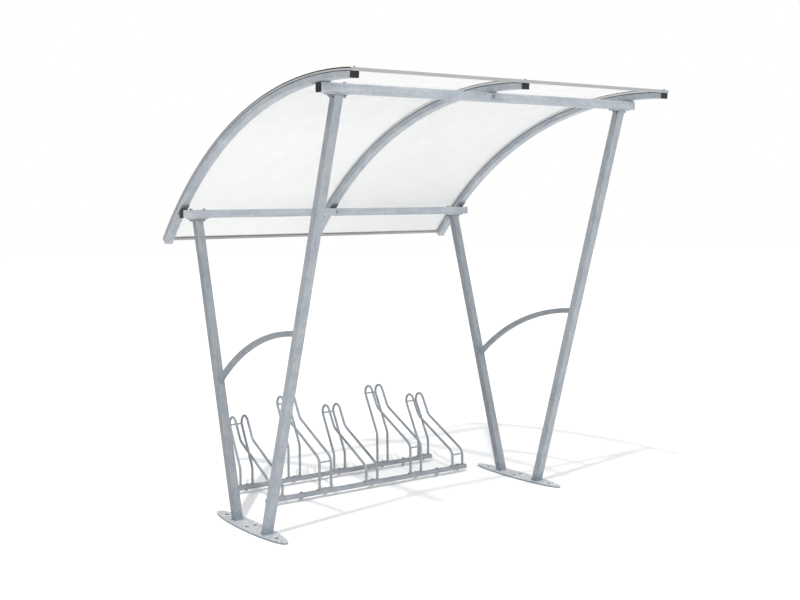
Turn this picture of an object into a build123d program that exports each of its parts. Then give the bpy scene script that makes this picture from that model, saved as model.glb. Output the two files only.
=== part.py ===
"""Bike shelter with a curved roof and a rack of wheel holders, in millimetres.

Two leaning side frames stand on elliptical base plates and carry a high front beam and a low rear
beam. Three roll-bent arches lie on the beams and hold two curved roof sheets in glazing bars. A rack
of bent-bar wheel holders stands on the floor below the roof, apart from the frames.

+X runs along the shelter, +Y to its low rear side, +Z up. The origin is on the ground below the
middle of the roof. Depths of frame, roof and rack are given from the base plates' centre line.
"""

import os
from math import asin, atan2, cos, degrees, hypot, radians, sin, sqrt, tan

from build123d import *

# ---------------------------------------------------------------- side frames
frame_spacing = 2000        # between the centre lines of the two side frames
base_length = 820           # base plate: ellipse, along Y
base_width = 130
base_t = 10
anchor_spacing = 600        # anchor holes near the ends of the ellipse
middle_anchor_spacing = 52  # pair of anchor holes across its middle
anchor_hole = 18

tube = 50                   # square tube of posts and beams
tube_wall = 3
tube_corner = 4             # outer corner radius

front_foot = -190           # depth of the front post's axis on the base plate
front_head = -966           # depth of the front beam
front_head_z = 2383         # underside of the front beam
rear_foot = 165.5
rear_head = 665
rear_head_z = 1756

top_plate_length = 128      # plate on a post's head, along the beam
top_plate_t = 8
top_bolt_spacing = 90
bolt_hole = 11              # clearance hole for M10

brace_size = 30             # square tube of the curved brace
brace_wall = 2.5
brace_corner = 3
brace_radius = 1520         # on its centre line
brace_front_z = 1144        # where the centre line meets the front post
brace_rear_z = 794          # where it meets the rear post

# ---------------------------------------------------------------- end caps
cap_t = 4                   # visible flange of a plastic end cap
cap_plug = 15               # how far its plug goes into the tube
cap_wall = 2
cap_clearance = 0.3

# ---------------------------------------------------------------- arches and roof
arch_outboard = 80          # centre line of an outer arch beyond its side frame's
arch_width = 50             # along X
arch_depth = 34             # in the plane of the bend
arch_wall = 3
arch_corner = 3
arch_radius = 2598          # inside of the bend
front_overhang = 308        # along the arch, beyond the front beam's rear corner
rear_overhang = 312         # along the arch, beyond the rear beam's rear corner

cleat_t = 5
cleat_reach = 45            # of its seat along the arch, each way from the beam's corner
cleat_leg = 45              # height of its leg behind the beam
cleat_bend = 5              # inside radius between leg and seat

layer_clearance = 0.2       # between the layers of the roof: arch, gasket, glazing bar, cover strip
gasket_t = 2.1
bar_wall = 2                # of the hollow glazing bars
bar_groove = 14             # depth of a glazing bar's groove for a sheet
sheet_t = 8
sheet_clearance = 0.3       # above and below the sheet in its groove
sheet_side_gap = 3          # for expansion, in the bars' grooves and in the edge channels
cover_t = 3.2
cover_round = 1.5

channel_t = 1.8
channel_clearance = 0.3     # over the glazing bars
front_channel_depth = 22
front_channel_proud = 9     # its face ahead of the arches' front ends
rear_channel_depth = 16
rear_channel_proud = 2      # its face below the arches' rear ends

# ---------------------------------------------------------------- rack
holder_count = 5
holder_pitch = 350
rack_middle = 45            # along X
rack_front = 325            # depth of the front rail
rack_rear = 715             # depth of the rear rail
rail_width = 30
rail_height = 25
rail_wall = 2
rail_corner = 3
rail_overhang = 68          # beyond the first and last holder
rack_foot_diameter = 24     # round spacers under the rails
rack_foot_t = 23
rack_anchor_hole = 12

hoop_rod = 16
hoop_spacing = 85           # between the two hoops of a holder
foot_plate_length = 115
foot_plate_t = 5
foot_bolt_hole = 9
front_bend_rise = 93        # heights above the foot plate's top, for a low holder
kink_rise = 283
loop_rise = 373
rear_bend_rise = 103
kink_before_rear = 7        # depth of the kink ahead of the rear rail
loop_behind_rear = 97       # depth of the loop's centre behind the rear rail
loop_radius = 45
front_bend_radius = 60
kink_radius = 80
rear_bend_radius = 60
high_lift = 95              # every second holder is this much taller
pin_rod = 10
front_pin_drop = 22         # below the front bend
loop_pin_turn = 15          # degrees up the loop from its lower end


# ---------------------------------------------------------------- geometry in the side view
def circle_centre(rear, front, radius):
    """Centre, below both points, of the circle through two points of the side view."""
    half_depth = (front[0] - rear[0]) / 2
    half_rise = (front[1] - rear[1]) / 2
    half_chord = hypot(half_depth, half_rise)
    drop = sqrt(radius**2 - half_chord**2) / half_chord
    middle_depth = (front[0] + rear[0]) / 2
    middle_height = (front[1] + rear[1]) / 2
    return (middle_depth - drop * half_rise, middle_height + drop * half_depth)


def angle_about(centre, point):
    """Angle in degrees of a point seen from a centre, from +Y towards +Z."""
    return degrees(atan2(point[1] - centre[1], point[0] - centre[0]))


def point_about(centre, radius, angle):
    """Point of the side view at a radius and an angle from a centre."""
    return (centre[0] + radius * cos(radians(angle)), centre[1] + radius * sin(radians(angle)))


def post_face(foot, head, head_z, side):
    """A point and the normal of a post's face, side +1 to the rear and -1 to the front."""
    lean = Vector(head - foot, head_z - base_t).normalized()
    normal = Vector(lean.Y, -lean.X) * side
    return Vector(foot, base_t) + normal * tube / 2, normal


def depth_on_face(face, height):
    """Depth of a post's face at a height."""
    point, normal = face
    return point.X - (height - point.Y) * normal.Y / normal.X


front_top = front_head_z + tube
rear_top = rear_head_z + tube
front_post_top = front_head_z - top_plate_t
rear_post_top = rear_head_z - top_plate_t

arch_spacing = frame_spacing / 2 + arch_outboard
roof_width = 2 * arch_spacing + arch_width   # the beams are as long as the roof is wide

# The arch's inside lies on the cleats' seats, which touch the rear upper corners of the beams.
front_corner = (front_head + tube / 2, front_top)
rear_corner = (rear_head + tube / 2, rear_top)
# Where the bend falls towards the front, it is the front beam's front corner that it has to clear.
front_corners = [front_corner, (front_head - tube / 2, front_top)]
arch_centres = [circle_centre(rear_corner, corner, arch_radius - cleat_t) for corner in front_corners]
arch_centre = max(arch_centres, key=lambda centre: centre[1])
arch_outer = arch_radius + arch_depth
arch_front_angle = angle_about(arch_centre, front_corner) + degrees(front_overhang / arch_radius)
arch_rear_angle = angle_about(arch_centre, rear_corner) - degrees(rear_overhang / arch_radius)

gasket_inner = arch_outer + layer_clearance
bar_inner = gasket_inner + gasket_t + layer_clearance
bar_slot = sheet_t + 2 * sheet_clearance
bar_outer = bar_inner + bar_slot + 2 * bar_wall
cover_inner = bar_outer + layer_clearance
channel_height = bar_outer + channel_clearance + channel_t - arch_outer

front_channel_angle = arch_front_angle + degrees(front_channel_proud / arch_outer)
rear_channel_angle = arch_rear_angle - degrees(rear_channel_proud / arch_outer)
edge_gap = channel_t + sheet_side_gap
glazing_front_angle = front_channel_angle - degrees(edge_gap / arch_outer)
glazing_rear_angle = rear_channel_angle + degrees(edge_gap / arch_outer)
strip_front_angle = front_channel_angle - degrees((front_channel_depth + channel_clearance) / arch_outer)
strip_rear_angle = rear_channel_angle + degrees((rear_channel_depth + channel_clearance) / arch_outer)

# The roof's front edge and the arches' outer rear corners give the middle of the plan.
roof_front = (
    arch_centre[0]
    + arch_outer * cos(radians(front_channel_angle))
    + channel_height * min(cos(radians(front_channel_angle)), 0)
)
roof_rear = arch_centre[0] + (arch_outer + channel_height) * cos(radians(rear_channel_angle))
plate_line = -(roof_front + roof_rear) / 2   # Y of the base plates' centre line

rail_bottom = rack_foot_t
rail_top = rail_bottom + rail_height
plate_top = rail_top + foot_plate_t
holder_places = [rack_middle + (n - (holder_count - 1) / 2) * holder_pitch for n in range(holder_count)]
rail_length = (holder_count - 1) * holder_pitch + 2 * rail_overhang
rack_foot_places = [rack_middle + side * (holder_count - 2) / 2 * holder_pitch for side in (-1, 1)]


# ---------------------------------------------------------------- planes
def side_plane(x, depth=0, height=0):
    """Plane across the shelter at x, with depth to the right and height up in its sketches."""
    return Plane(origin=(x, plate_line + depth, height), x_dir=(0, 1, 0), z_dir=(1, 0, 0))


def bend_plane(x, centre, angle):
    """Plane through a bend's axis at an angle: sketch x is along X, sketch y is the radius."""
    turn = radians(angle)
    return Plane(
        origin=(x, plate_line + centre[0], centre[1]), x_dir=(1, 0, 0), z_dir=(0, -sin(turn), cos(turn))
    )


def bend_axis(centre):
    """Axis of a bend, along X."""
    return Axis((0, plate_line + centre[0], centre[1]), (1, 0, 0))


def edge_plane(x, angle, inward):
    """Plane across a roof edge channel: sketch x points inward along the roof, sketch y outward."""
    turn = radians(angle)
    depth = plate_line + arch_centre[0] + arch_outer * cos(turn)
    height = arch_centre[1] + arch_outer * sin(turn)
    return Plane(origin=(x, depth, height), x_dir=(0, -inward * sin(turn), inward * cos(turn)), z_dir=(-inward, 0, 0))


# ---------------------------------------------------------------- shared shapes
def tube_section(width, height, wall, corner):
    """Hollow section with rounded corners, in the sketch that is open."""
    RectangleRounded(width, height, corner)
    RectangleRounded(width - 2 * wall, height - 2 * wall, corner / 3, mode=Mode.SUBTRACT)


def end_cap(seat, width, height, wall, corner):
    """Plastic cap on the end of a tube whose end face is the seat plane, for the part that is open."""
    plug_width = width - 2 * wall - 2 * cap_clearance
    plug_height = height - 2 * wall - 2 * cap_clearance
    with BuildSketch(seat) as flange:
        RectangleRounded(width, height, corner)
    with BuildSketch(seat) as plug:
        RectangleRounded(plug_width, plug_height, corner / 3)
        Rectangle(plug_width - 2 * cap_wall, plug_height - 2 * cap_wall, mode=Mode.SUBTRACT)
    extrude(flange.sketch, amount=cap_t)
    extrude(plug.sketch, amount=-cap_plug)


def finish(piece, name):
    """Labels a finished piece and writes its file."""
    piece.part.label = name
    export_step(piece.part, f"parts/{name}.step")


os.makedirs("parts", exist_ok=True)
sides = {"left": -1, "right": 1}

# ---------------------------------------------------------------- base plates
for hand, side in sides.items():
    x = side * frame_spacing / 2
    with BuildPart() as base_plate:
        with BuildSketch(Plane.XY):
            with Locations((x, plate_line)):
                Ellipse(base_width / 2, base_length / 2)
                with GridLocations(0, anchor_spacing, 1, 2):
                    Circle(anchor_hole / 2, mode=Mode.SUBTRACT)
                with GridLocations(middle_anchor_spacing, 0, 2, 1):
                    Circle(anchor_hole / 2, mode=Mode.SUBTRACT)
        extrude(amount=base_t)
    finish(base_plate, f"base_plate_{hand}")

# ---------------------------------------------------------------- posts and top plates
posts = {
    "front": (front_foot, front_head, front_post_top),
    "rear": (rear_foot, rear_head, rear_post_top),
}
for row, (foot, head, top) in posts.items():
    for hand, side in sides.items():
        x = side * frame_spacing / 2
        foot_point = Vector(x, plate_line + foot, base_t)
        head_point = Vector(x, plate_line + head, top)
        run = head_point - foot_point
        with BuildPart() as post:
            with BuildSketch(Plane(origin=foot_point - run.normalized() * tube, x_dir=(1, 0, 0), z_dir=run)):
                tube_section(tube, tube, tube_wall, tube_corner)
            extrude(amount=run.length + 2 * tube)
            split(bisect_by=Plane.XY.offset(base_t), keep=Keep.TOP)
            split(bisect_by=Plane.XY.offset(top), keep=Keep.BOTTOM)
        finish(post, f"post_{row}_{hand}")

        with BuildPart() as top_plate:
            with BuildSketch(Plane.XY.offset(top)):
                with Locations((x, plate_line + head)):
                    RectangleRounded(top_plate_length, tube, tube_corner)
                    with GridLocations(top_bolt_spacing, 0, 2, 1):
                        Circle(bolt_hole / 2, mode=Mode.SUBTRACT)
            extrude(amount=top_plate_t)
        finish(top_plate, f"top_plate_{row}_{hand}")

# ---------------------------------------------------------------- braces
front_face = post_face(front_foot, front_head, front_post_top, 1)
rear_face = post_face(rear_foot, rear_head, rear_post_top, -1)
brace_front = (depth_on_face(front_face, brace_front_z), brace_front_z)
brace_rear = (depth_on_face(rear_face, brace_rear_z), brace_rear_z)
brace_centre = circle_centre(brace_rear, brace_front, brace_radius)
brace_spare = degrees(2 * brace_size / brace_radius)   # rolled longer, then trimmed at the posts
brace_start = angle_about(brace_centre, brace_rear) - brace_spare
brace_end = angle_about(brace_centre, brace_front) + brace_spare
for hand, side in sides.items():
    x = side * frame_spacing / 2
    with BuildPart() as brace:
        with BuildSketch(bend_plane(x, brace_centre, brace_start)):
            with Locations((0, brace_radius)):
                tube_section(brace_size, brace_size, brace_wall, brace_corner)
        revolve(axis=bend_axis(brace_centre), revolution_arc=brace_end - brace_start)
        for point, normal in (front_face, rear_face):
            face_origin = (x, plate_line + point.X, point.Y)
            split(bisect_by=Plane(origin=face_origin, z_dir=(0, normal.X, normal.Y)), keep=Keep.TOP)
    finish(brace, f"brace_{hand}")

# ---------------------------------------------------------------- beams and their caps
beams = {"front": (front_head, front_head_z), "rear": (rear_head, rear_head_z)}
top_bolt_places = [
    side * frame_spacing / 2 + bolt_side * top_bolt_spacing / 2 for side in (-1, 1) for bolt_side in (-1, 1)
]
arch_places = {"left": -arch_spacing, "middle": 0, "right": arch_spacing}
for row, (depth, underside) in beams.items():
    axis_height = underside + tube / 2
    with BuildPart() as beam:
        with BuildSketch(side_plane(-roof_width / 2, depth, axis_height)):
            tube_section(tube, tube, tube_wall, tube_corner)
        extrude(amount=roof_width)
        with BuildSketch(Plane.XY.offset(underside)):
            with Locations(*[(x, plate_line + depth) for x in top_bolt_places]):
                Circle(bolt_hole / 2)
        extrude(amount=tube, mode=Mode.SUBTRACT)
        # The middle arch is bolted right through the beam, the outer ones into its rear wall.
        for x in arch_places.values():
            with BuildSketch(Plane.XZ.offset(-plate_line - depth)):
                with Locations((x, axis_height)):
                    Circle(bolt_hole / 2)
            extrude(amount=-tube, both=x == 0, mode=Mode.SUBTRACT)
    finish(beam, f"{row}_beam")

    with BuildPart() as beam_caps:
        for side in (-1, 1):
            end = Vector(side * roof_width / 2, plate_line + depth, axis_height)
            end_cap(Plane(origin=end, x_dir=(0, 1, 0), z_dir=(side, 0, 0)), tube, tube, tube_wall, tube_corner)
    finish(beam_caps, f"beam_caps_{row}")

# ---------------------------------------------------------------- cleats between beams and arches
corners = {"front": front_corner, "rear": rear_corner}
for row, corner_point in corners.items():
    seat_angle = angle_about(arch_centre, corner_point)
    seat_turn = degrees(cleat_reach / arch_radius)
    leg_rise = sqrt((arch_radius - cleat_t / 2)**2 - (corner_point[0] - arch_centre[0] + cleat_t)**2)
    leg_top = arch_centre[1] + leg_rise
    leg_bottom = corner_point[1] - cleat_leg
    bolt_height = beams[row][1] + tube / 2
    with BuildPart() as cleats:
        for x in arch_places.values():
            with BuildSketch(side_plane(x)) as cleat:
                with BuildLine():
                    CenterArc(arch_centre, arch_radius, seat_angle - seat_turn, 2 * seat_turn)
                    CenterArc(arch_centre, arch_radius - cleat_t, seat_angle - seat_turn, 2 * seat_turn)
                    for angle in (seat_angle - seat_turn, seat_angle + seat_turn):
                        Line(
                            point_about(arch_centre, arch_radius - cleat_t, angle),
                            point_about(arch_centre, arch_radius, angle),
                        )
                make_face()
                with Locations((corner_point[0], leg_bottom)):
                    Rectangle(cleat_t, leg_top - leg_bottom, align=(Align.MIN, Align.MIN))
                inner_bend = cleat.vertices().sort_by_distance(
                    (corner_point[0] + cleat_t, leg_top - cleat_t / 2)
                )[0]
                fillet(inner_bend, cleat_bend)
            extrude(amount=arch_width / 2, both=True)
            with BuildSketch(Plane.XZ.offset(-plate_line - corner_point[0])):
                with Locations((x, bolt_height)):
                    Circle(bolt_hole / 2)
            extrude(amount=-cleat_t, mode=Mode.SUBTRACT)
    finish(cleats, f"cleats_{row}")

# ---------------------------------------------------------------- arches and the strips on them
# Each lies around the same axis, between two angles, and its section is drawn at the lower one.
for hand, x in arch_places.items():
    with BuildPart() as arch:
        with BuildSketch(bend_plane(x, arch_centre, arch_rear_angle)):
            with Locations((0, arch_radius + arch_depth / 2)):
                tube_section(arch_width, arch_depth, arch_wall, arch_corner)
        revolve(axis=bend_axis(arch_centre), revolution_arc=arch_front_angle - arch_rear_angle)
    finish(arch, f"arch_{hand}")

    with BuildPart() as gasket:
        with BuildSketch(bend_plane(x, arch_centre, strip_rear_angle)):
            with Locations((0, gasket_inner + gasket_t / 2)):
                Rectangle(arch_width, gasket_t)
        revolve(axis=bend_axis(arch_centre), revolution_arc=strip_front_angle - strip_rear_angle)
    finish(gasket, f"gasket_{hand}")

    outer_side = (x > 0) - (x < 0)
    groove_sides = [side for side in (-1, 1) if side != outer_side]
    with BuildPart() as glazing_bar:
        with BuildSketch(bend_plane(x, arch_centre, glazing_rear_angle)):
            with Locations((0, (bar_inner + bar_outer) / 2)):
                Rectangle(arch_width, bar_outer - bar_inner)
                with Locations(*[(side * (arch_width - bar_groove) / 2, 0) for side in groove_sides]):
                    Rectangle(bar_groove, bar_slot, mode=Mode.SUBTRACT)
                box_width = arch_width - len(groove_sides) * bar_groove
                with Locations((outer_side * (arch_width - box_width) / 2, 0)):
                    Rectangle(box_width - 2 * bar_wall, bar_slot, mode=Mode.SUBTRACT)
        revolve(axis=bend_axis(arch_centre), revolution_arc=glazing_front_angle - glazing_rear_angle)
    finish(glazing_bar, f"glazing_bar_{hand}")

    with BuildPart() as cover_strip:
        with BuildSketch(bend_plane(x, arch_centre, strip_rear_angle)) as cover:
            with Locations((0, cover_inner + cover_t / 2)):
                Rectangle(arch_width, cover_t)
            fillet(cover.vertices().group_by(Axis.Y)[-1], cover_round)
        revolve(axis=bend_axis(arch_centre), revolution_arc=strip_front_angle - strip_rear_angle)
    finish(cover_strip, f"cover_strip_{hand}")

with BuildPart() as arch_caps:
    for x in arch_places.values():
        seat = bend_plane(x, arch_centre, arch_front_angle)
        seat.origin += seat.y_dir * (arch_radius + arch_depth / 2)
        end_cap(seat, arch_width, arch_depth, arch_wall, arch_corner)
finish(arch_caps, "arch_caps")

# ---------------------------------------------------------------- roof sheets
sheet_inner = bar_inner + bar_wall + sheet_clearance
sheet_inset = arch_width / 2 - bar_groove + sheet_side_gap   # of its edges from the arches' centre lines
sheet_width = arch_spacing - 2 * sheet_inset
for hand, side in sides.items():
    with BuildPart() as roof_sheet:
        with BuildSketch(bend_plane(0, arch_centre, glazing_rear_angle)):
            with Locations((side * arch_spacing / 2, sheet_inner + sheet_t / 2)):
                Rectangle(sheet_width, sheet_t)
        revolve(axis=bend_axis(arch_centre), revolution_arc=glazing_front_angle - glazing_rear_angle)
    finish(roof_sheet, f"roof_sheet_{hand}")

# ---------------------------------------------------------------- edge channels of the roof
edges = {
    "front": (front_channel_angle, -1, front_channel_depth),
    "rear": (rear_channel_angle, 1, rear_channel_depth),
}
for row, (angle, inward, depth) in edges.items():
    with BuildPart() as channel:
        with BuildSketch(edge_plane(inward * roof_width / 2, angle, inward)):
            Rectangle(depth, channel_height, align=(Align.MIN, Align.MIN))
            with Locations((channel_t, channel_t)):
                Rectangle(
                    depth, channel_height - 2 * channel_t, align=(Align.MIN, Align.MIN), mode=Mode.SUBTRACT
                )
        extrude(amount=roof_width)
    finish(channel, f"{row}_channel")

# ---------------------------------------------------------------- rack rails and feet
rails = {"front": rack_front, "rear": rack_rear}
for row, depth in rails.items():
    with BuildPart() as rail:
        rail_start = rack_middle - rail_length / 2
        with BuildSketch(side_plane(rail_start, depth, rail_bottom + rail_height / 2)):
            tube_section(rail_width, rail_height, rail_wall, rail_corner)
        extrude(amount=rail_length)
        with BuildSketch(Plane.XY.offset(rail_bottom)):
            with Locations(*[(x, plate_line + depth) for x in rack_foot_places]):
                Circle(rack_anchor_hole / 2)
            with Locations(*[(x, plate_line + depth) for x in holder_places]):
                Circle(foot_bolt_hole / 2)
        extrude(amount=rail_height, mode=Mode.SUBTRACT)
    finish(rail, f"rack_rail_{row}")

with BuildPart() as rack_feet:
    for x in rack_foot_places:
        for depth in rails.values():
            with BuildSketch(Plane.XY):
                with Locations((x, plate_line + depth)):
                    Circle(rack_foot_diameter / 2)
                    Circle(rack_anchor_hole / 2, mode=Mode.SUBTRACT)
    extrude(amount=rack_foot_t)
finish(rack_feet, "rack_feet")


# ---------------------------------------------------------------- wheel holders
def tangent_point(start, centre, radius, over):
    """Where a line from a start touches a circle, passing over it (+1) or under it (-1)."""
    distance = hypot(centre[0] - start[0], centre[1] - start[1])
    direction = angle_about(start, centre) + over * degrees(asin(radius / distance))
    return point_about(start, sqrt(distance**2 - radius**2), direction)


def corner_bend(before, corner, after, radius):
    """Centre, first angle and turn of the bend that rounds a corner of a rod, in degrees."""
    heading = angle_about(before, corner)
    turn = (angle_about(corner, after) - heading + 180) % 360 - 180
    tangent = radius * tan(radians(abs(turn)) / 2)
    side = 90 if turn > 0 else -90
    centre = point_about(point_about(corner, -tangent, heading), radius, heading + side)
    return centre, heading - side, turn


def bent_rod(x, start, bends, end):
    """Round bar in the plane across x, for the part that is open: straights that join its bends."""
    here = start
    for centre, first_angle, turn, radius in bends:
        there = point_about(centre, radius, first_angle)
        straight_rod(x, here, there)
        with BuildSketch(bend_plane(x, centre, first_angle)) as section:
            with Locations((0, radius)):
                Circle(hoop_rod / 2)
        revolve(section.sketch, axis=bend_axis(centre), revolution_arc=turn)
        here = point_about(centre, radius, first_angle + turn)
    straight_rod(x, here, end)


def straight_rod(x, start, end):
    """Straight round bar in the plane across x, for the part that is open."""
    run = Vector(0, end[0] - start[0], end[1] - start[1])
    with BuildSketch(Plane(origin=(x, plate_line + start[0], start[1]), z_dir=run)) as section:
        Circle(hoop_rod / 2)
    extrude(section.sketch, amount=run.length)


for number, x in enumerate(holder_places, start=1):
    lift = high_lift if number % 2 == 0 else 0
    front_bend = (rack_front, plate_top + front_bend_rise + lift)
    kink = (rack_rear - kink_before_rear, plate_top + kink_rise + lift)
    loop_centre = (rack_rear + loop_behind_rear, plate_top + loop_rise + lift)
    rear_bend = (rack_rear, plate_top + rear_bend_rise + lift)
    loop_start = tangent_point(kink, loop_centre, loop_radius, 1)
    loop_end = tangent_point(rear_bend, loop_centre, loop_radius, -1)
    loop_first_angle = angle_about(loop_centre, loop_start)
    loop_turn = angle_about(loop_centre, loop_end) - loop_first_angle
    foot_front, foot_rear = [(depth, rail_top) for depth in rails.values()]
    bends = [
        (*corner_bend(foot_front, front_bend, kink, front_bend_radius), front_bend_radius),
        (*corner_bend(front_bend, kink, loop_start, kink_radius), kink_radius),
        (loop_centre, loop_first_angle, loop_turn, loop_radius),
        (*corner_bend(loop_end, rear_bend, foot_rear, rear_bend_radius), rear_bend_radius),
    ]
    loop_pin = point_about(loop_centre, loop_radius, angle_about(loop_centre, loop_end) + loop_pin_turn)
    pins = [(rack_front, front_bend[1] - front_pin_drop), loop_pin]
    with BuildPart() as holder:
        for side in (-1, 1):
            bent_rod(x + side * hoop_spacing / 2, foot_front, bends, foot_rear)
        for depth, height in pins:
            with BuildSketch(side_plane(x, depth, height)):
                Circle(pin_rod / 2)
            extrude(amount=hoop_spacing / 2, both=True)
        with BuildSketch(Plane.XY.offset(rail_top)):
            for depth in rails.values():
                with Locations((x, plate_line + depth)):
                    RectangleRounded(foot_plate_length, rail_width, rail_corner)
                    Circle(foot_bolt_hole / 2, mode=Mode.SUBTRACT)
        extrude(amount=foot_plate_t)
    finish(holder, f"wheel_holder_{number}")
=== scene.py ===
from math import acos, asin, atan2, cos, pi, radians, sin, sqrt

import bmesh
import bpy
from bpy.props import FloatProperty, FloatVectorProperty, IntProperty, PointerProperty
from bpy.types import Operator, Panel, PropertyGroup
from mathutils import Matrix, Vector


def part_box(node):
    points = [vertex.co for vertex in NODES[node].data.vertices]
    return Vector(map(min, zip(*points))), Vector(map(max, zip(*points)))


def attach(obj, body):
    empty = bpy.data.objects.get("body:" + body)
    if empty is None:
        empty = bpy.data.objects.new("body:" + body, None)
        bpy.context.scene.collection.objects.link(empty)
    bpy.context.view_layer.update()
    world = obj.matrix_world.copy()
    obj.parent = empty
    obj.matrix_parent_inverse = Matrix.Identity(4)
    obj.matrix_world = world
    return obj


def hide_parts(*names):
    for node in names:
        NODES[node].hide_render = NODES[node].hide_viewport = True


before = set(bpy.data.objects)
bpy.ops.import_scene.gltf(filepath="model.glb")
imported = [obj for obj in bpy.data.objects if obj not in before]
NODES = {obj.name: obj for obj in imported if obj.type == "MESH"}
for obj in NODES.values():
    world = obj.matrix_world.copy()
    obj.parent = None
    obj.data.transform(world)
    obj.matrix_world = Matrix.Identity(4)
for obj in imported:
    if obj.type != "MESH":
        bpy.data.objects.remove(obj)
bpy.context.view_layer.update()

bl_info = {
    "name": "Bike shelter",
    "version": (1, 0, 0),
    "blender": (4, 5, 0),
    "location": "3D View > Sidebar > Shelter",
    "description": "Finishes, fasteners, welds and fluted roof sheets on the frame of a bike shelter",
    "category": "Object",
}

HANDS = ("left", "right")
ROWS = ("front", "rear")
ARCHES = ("left", "middle", "right")
HOLDERS = sorted(name for name in NODES if name.startswith("wheel_holder_"))


# ---------------- values a user would change
def size(name, default, description):
    """A length in metres."""
    return FloatProperty(name=name, description=description, default=default, min=0.0, unit="LENGTH",
                         subtype="DISTANCE")


def colour(name, default, description):
    """A linear colour."""
    return FloatVectorProperty(name=name, description=description, default=default, size=3, min=0.0, max=1.0,
                               subtype="COLOR")


def shade(name, default, description):
    """A factor on the base colours of a finish."""
    return FloatProperty(name=name, description=description, default=default, min=0.0, max=2.0)


def strength(name, default, description):
    """The strength of a light."""
    return FloatProperty(name=name, description=description, default=default, min=0.0)


def angle(name, default, description):
    """An angle in radians."""
    return FloatProperty(name=name, description=description, default=default, subtype="ANGLE")


class ShelterSizes(PropertyGroup):
    """Sizes of what the frame leaves open."""
    arch_radius: size("Arch radius", 2.598, "Inside radius of the roll-bent arches")
    arch_depth: size("Arch depth", 0.034, "Depth of the arches' tube in the plane of the bend")
    sheet_thickness: size("Sheet thickness", 0.008, "Over both skins of the fluted roof sheet")
    sheet_skin: size("Sheet skin", 0.0006, "Thickness of a skin or a web of the roof sheet")
    flutes: IntProperty(name="Flutes", description="Number of flutes across a roof sheet", default=100, min=1)
    channel_height: size("Channel height", 0.0172, "Height of the edge channels, across the sheet")
    cover_lip: size("Cover lip", 0.0028, "Height of the cover strips' lip on the outer glazing bars")
    vent: size("Vent", 0.011, "Diameter of the plugs in the vent holes below the front posts' heads")
    vent_head: size("Vent plug head", 0.0016, "How far the plugs stand proud of the posts")
    bolt_spacing: size("Bolt spacing", 0.090, "Between the two bolts that hold a beam on a post's plate")
    cleat: size("Cleat thickness", 0.005, "Thickness of the cleats that carry the arches")
    cleat_screw: size("Cleat screw", 0.029, "From the beam's corner to the cleat's screw, along the arch")
    bead: size("Weld leg", 0.005, "Leg of the fillet welds at the posts' ends")
    small_bead: size("Small weld leg", 0.003, "Leg of the fillet welds at the braces and hoops")
    post_corner: size("Post corner", 0.004, "Outer corner radius of the posts' tube")
    brace_width: size("Brace width", 0.030, "Width of the braces' square tube")
    brace_corner: size("Brace corner", 0.003, "Outer corner radius of the braces' tube")
    hoop_rod: size("Hoop rod", 0.016, "Diameter of the wheel holders' rod")
    hoop_spacing: size("Hoop spacing", 0.085, "Between the two hoops of a wheel holder")
    foot_plate: size("Foot plate", 0.005, "Thickness of the wheel holders' foot plates")
    rack_foot: size("Rack foot", 0.024, "Diameter of the spacers under the rack's rails")
    anchor_spacing: size("Anchor spacing", 0.600, "Between the anchor holes near the ends of a base plate")
    middle_anchors: size("Middle anchors", 0.052, "Between the two anchor holes in a base plate's middle")
    anchor_hole: size("Anchor hole", 0.0176, "Diameter of the holes drilled into the floor for anchors")
    anchor_depth: size("Anchor depth", 0.070, "Depth of the holes drilled into the floor for anchors")


class ShelterColours(PropertyGroup):
    """Base colours of the finishes."""
    zinc_light: colour("Zinc, light", (0.462, 0.480, 0.494), "Light, warmer grey of the hot-dip zinc")
    zinc_dark: colour("Zinc, dark", (0.288, 0.330, 0.378), "Dark, bluer grey of the hot-dip zinc")
    front_posts: shade("Front posts", 0.95, "Brightness of the zinc on the front posts")
    # painted shade: a darker copy of the zinc, standing in for the roof's shadow on the rear posts, braces
    # and cleats
    rear_posts: shade("Rear posts", 0.74, "Brightness of the zinc on the rear posts and braces")
    # painted light: the beams, their top plates and the arches get brighter copies of the same zinc
    beams: shade("Beams", 1.13, "Brightness of the zinc on the beams")
    arches: shade("Arches", 1.16, "Brightness of the zinc on the arches")
    rack: shade("Rack", 0.80, "Brightness of the zinc on the rack")
    channels: shade("Channels", 0.64, "Brightness of the mill finish on the roof's edge channels")
    plate_light: colour("Plate zinc, light", (0.92, 0.94, 0.96), "Light crystals on the base plates")
    plate_dark: colour("Plate zinc, dark", (0.54, 0.58, 0.62), "Dark crystals on the base plates")
    # painted shade on the base plates' edges and in their holes
    plate_edge_shade: shade("Plate edge", 0.45, "Brightness of the base plates' edges and holes")
    mill_light: colour("Aluminium, light", (0.72, 0.73, 0.74), "Mill-finish aluminium")
    mill_dark: colour("Aluminium, dark", (0.52, 0.54, 0.56), "Drawing lines in the mill finish")
    plastic: colour("Black plastic", (0.014, 0.015, 0.016), "Moulded end caps and plugs")
    rubber: colour("Rubber", (0.012, 0.012, 0.013), "Gaskets below the glazing bars")
    trim: colour("Dark trim", (0.020, 0.021, 0.023), "Cover strips on the glazing bars")
    sheet: colour("Roof sheet", (0.80, 0.803, 0.806), "Haze on the clear fluted polycarbonate")
    tape: colour("Edge tape", (0.72, 0.73, 0.74), "Tape on the roof sheets' long edges")
    fastener: colour("Fasteners", (0.40, 0.42, 0.44), "Zinc-plated bolts and screws")
    floor: colour("Floor", (0.96, 0.96, 0.96), "Plain studio floor")
    surround: colour("Surround", (0.985, 0.992, 1.0), "Light of the surround")


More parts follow.
